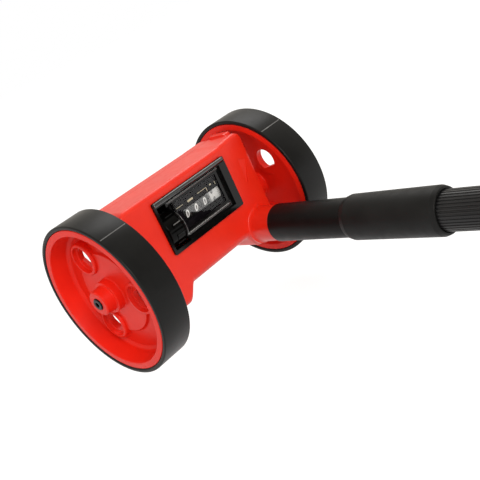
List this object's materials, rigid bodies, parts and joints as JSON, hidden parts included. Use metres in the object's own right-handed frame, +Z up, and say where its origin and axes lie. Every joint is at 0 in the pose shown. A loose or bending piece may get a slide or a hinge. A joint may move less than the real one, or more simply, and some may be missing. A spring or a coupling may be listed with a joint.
{
  "type": "measuring wheel",
  "caption": "Twin-wheel rolling distance measurer: drum counter with reset thumbwheel in a moulded housing between dished wheels, on a telescopic handle set off to one side.",
  "frame": {"origin": "on the ground plane, under the middle of the bounding box with the handle collapsed", "axes": "+X along the axle toward the handle's side, +Y from the grip toward the wheels, +Z up; the counter faces the user at -Y, and the handle runs down to the ground at 2.5 degrees"},
  "size_m": [0.1722, 0.5366, 0.1061],
  "materials": {
    "red_plastic": "satin moulded",
    "black_plastic": "satin moulded",
    "gloss_black_plastic": "polished",
    "tyre_rubber": "smooth tread",
    "steel": "ground",
    "blackened_steel": "black oxide",
    "bush_bronze": "sintered",
    "white_nylon": "natural nylon",
    "drum_grey": "satin",
    "drum_white": "satin",
    "clear_plastic": "clear",
    "black_aluminium": "black anodised"
  },
  "bodies": {
    "housing": {"front_housing": "red_plastic", "rear_cover": "red_plastic", "cover_screw_1": "blackened_steel", "cover_screw_2": "blackened_steel", "cover_screw_3": "blackened_steel", "cover_screw_4": "blackened_steel", "left_axle_bush": "bush_bronze", "right_axle_bush": "bush_bronze", "counter_bezel": "gloss_black_plastic", "counter_window": "clear_plastic", "label_plate": "gloss_black_plastic", "counter_frame": "black_plastic", "carry_shaft": "steel", "idler_pin": "steel", "thumbwheel_pin": "steel", "lower_tube": "black_plastic", "ribbed_tube": "black_aluminium"},
    "wheel_set": {"axle": "steel", "left_wheel_hub": "red_plastic", "right_wheel_hub": "red_plastic", "left_tyre": "tyre_rubber", "right_tyre": "tyre_rubber", "left_wheel_screw": "blackened_steel", "right_wheel_screw": "blackened_steel", "left_thrust_washer": "steel", "right_thrust_washer": "steel", "drive_gear": "white_nylon"},
    "idler": {"idler_gear": "white_nylon"},
    "drum_4": {"digit_drum_4": "drum_white", "drum_shaft": "steel", "counter_gear": "white_nylon"},
    "drum_3": {"digit_drum_3": "drum_grey"},
    "drum_2": {"digit_drum_2": "drum_grey"},
    "drum_1": {"digit_drum_1": "drum_grey"},
    "pinion_3": {"carry_pinion_3": "white_nylon"},
    "pinion_2": {"carry_pinion_2": "white_nylon"},
    "pinion_1": {"carry_pinion_1": "white_nylon"},
    "thumbwheel": {"reset_thumbwheel": "gloss_black_plastic"},
    "collar": {"lock_collar": "black_plastic"},
    "lower_lock": {"lower_twist_lock": "black_plastic"},
    "middle_section": {"middle_tube": "black_aluminium"},
    "upper_lock": {"upper_twist_lock": "black_plastic"},
    "inner_section": {"inner_tube": "black_aluminium", "hand_grip": "tyre_rubber", "end_cap": "black_plastic"}
  },
  "joints": [
    {"name": "wheel_spin", "type": "hinge", "parent": "housing", "child": "wheel_set", "pos_m": [0, 0.21526, 0.05313], "axis": [1, 0, 0], "continuous": true},
    {"name": "idler_spin", "type": "hinge", "parent": "housing", "child": "idler", "pos_m": [0, 0.223, 0.06527], "axis": [1, 0, 0], "continuous": true},
    {"name": "drum_4_spin", "type": "hinge", "parent": "housing", "child": "drum_4", "pos_m": [0, 0.20807, 0.07103], "axis": [1, 0, 0], "continuous": true},
    {"name": "drum_3_spin", "type": "hinge", "parent": "housing", "child": "drum_3", "pos_m": [0, 0.20807, 0.07103], "axis": [1, 0, 0], "continuous": true},
    {"name": "drum_2_spin", "type": "hinge", "parent": "housing", "child": "drum_2", "pos_m": [0, 0.20807, 0.07103], "axis": [1, 0, 0], "continuous": true},
    {"name": "drum_1_spin", "type": "hinge", "parent": "housing", "child": "drum_1", "pos_m": [0, 0.20807, 0.07103], "axis": [1, 0, 0], "continuous": true},
    {"name": "pinion_3_spin", "type": "hinge", "parent": "housing", "child": "pinion_3", "pos_m": [0, 0.21488, 0.07992], "axis": [1, 0, 0], "continuous": true},
    {"name": "pinion_2_spin", "type": "hinge", "parent": "housing", "child": "pinion_2", "pos_m": [0, 0.21488, 0.07992], "axis": [1, 0, 0], "continuous": true},
    {"name": "pinion_1_spin", "type": "hinge", "parent": "housing", "child": "pinion_1", "pos_m": [0, 0.21488, 0.07992], "axis": [1, 0, 0], "continuous": true},
    {"name": "thumbwheel_spin", "type": "hinge", "parent": "housing", "child": "thumbwheel", "pos_m": [0, 0.20289, 0.068], "axis": [1, 0, 0], "continuous": true},
    {"name": "collar_twist", "type": "hinge", "parent": "housing", "child": "collar", "pos_m": [0.0424, 0.08145, 0.02873], "axis": [0, -0.999, -0.0439], "range_deg": [0, 90]},
    {"name": "lower_lock_twist", "type": "hinge", "parent": "housing", "child": "lower_lock", "pos_m": [0.0424, -0.1196, 0.01988], "axis": [0, -0.999, -0.0439], "range_deg": [0, 120]},
    {"name": "middle_tube_slide", "type": "slide", "parent": "housing", "child": "middle_section", "axis": [0, -0.999, -0.0439], "range_m": [0, 0.24]},
    {"name": "upper_lock_twist", "type": "hinge", "parent": "middle_section", "child": "upper_lock", "pos_m": [0.0424, -0.14708, 0.01868], "axis": [0, -0.999, -0.0439], "range_deg": [0, 120]},
    {"name": "inner_tube_slide", "type": "slide", "parent": "middle_section", "child": "inner_section", "axis": [0, -0.999, -0.0439], "range_m": [0, 0.26]}
  ],
  "couplings": [
    {"joint": "idler_spin", "follows": "wheel_spin", "ratio": -0.5},
    {"joint": "drum_4_spin", "follows": "wheel_spin", "ratio": 0.33333},
    {"joint": "drum_3_spin", "follows": "wheel_spin", "ratio": 0.033333},
    {"joint": "drum_2_spin", "follows": "wheel_spin", "ratio": 0.0033333},
    {"joint": "drum_1_spin", "follows": "wheel_spin", "ratio": 0.00033333},
    {"joint": "pinion_3_spin", "follows": "wheel_spin", "ratio": -0.083333},
    {"joint": "pinion_2_spin", "follows": "wheel_spin", "ratio": -0.0083333},
    {"joint": "pinion_1_spin", "follows": "wheel_spin", "ratio": -0.00083333}
  ]
}
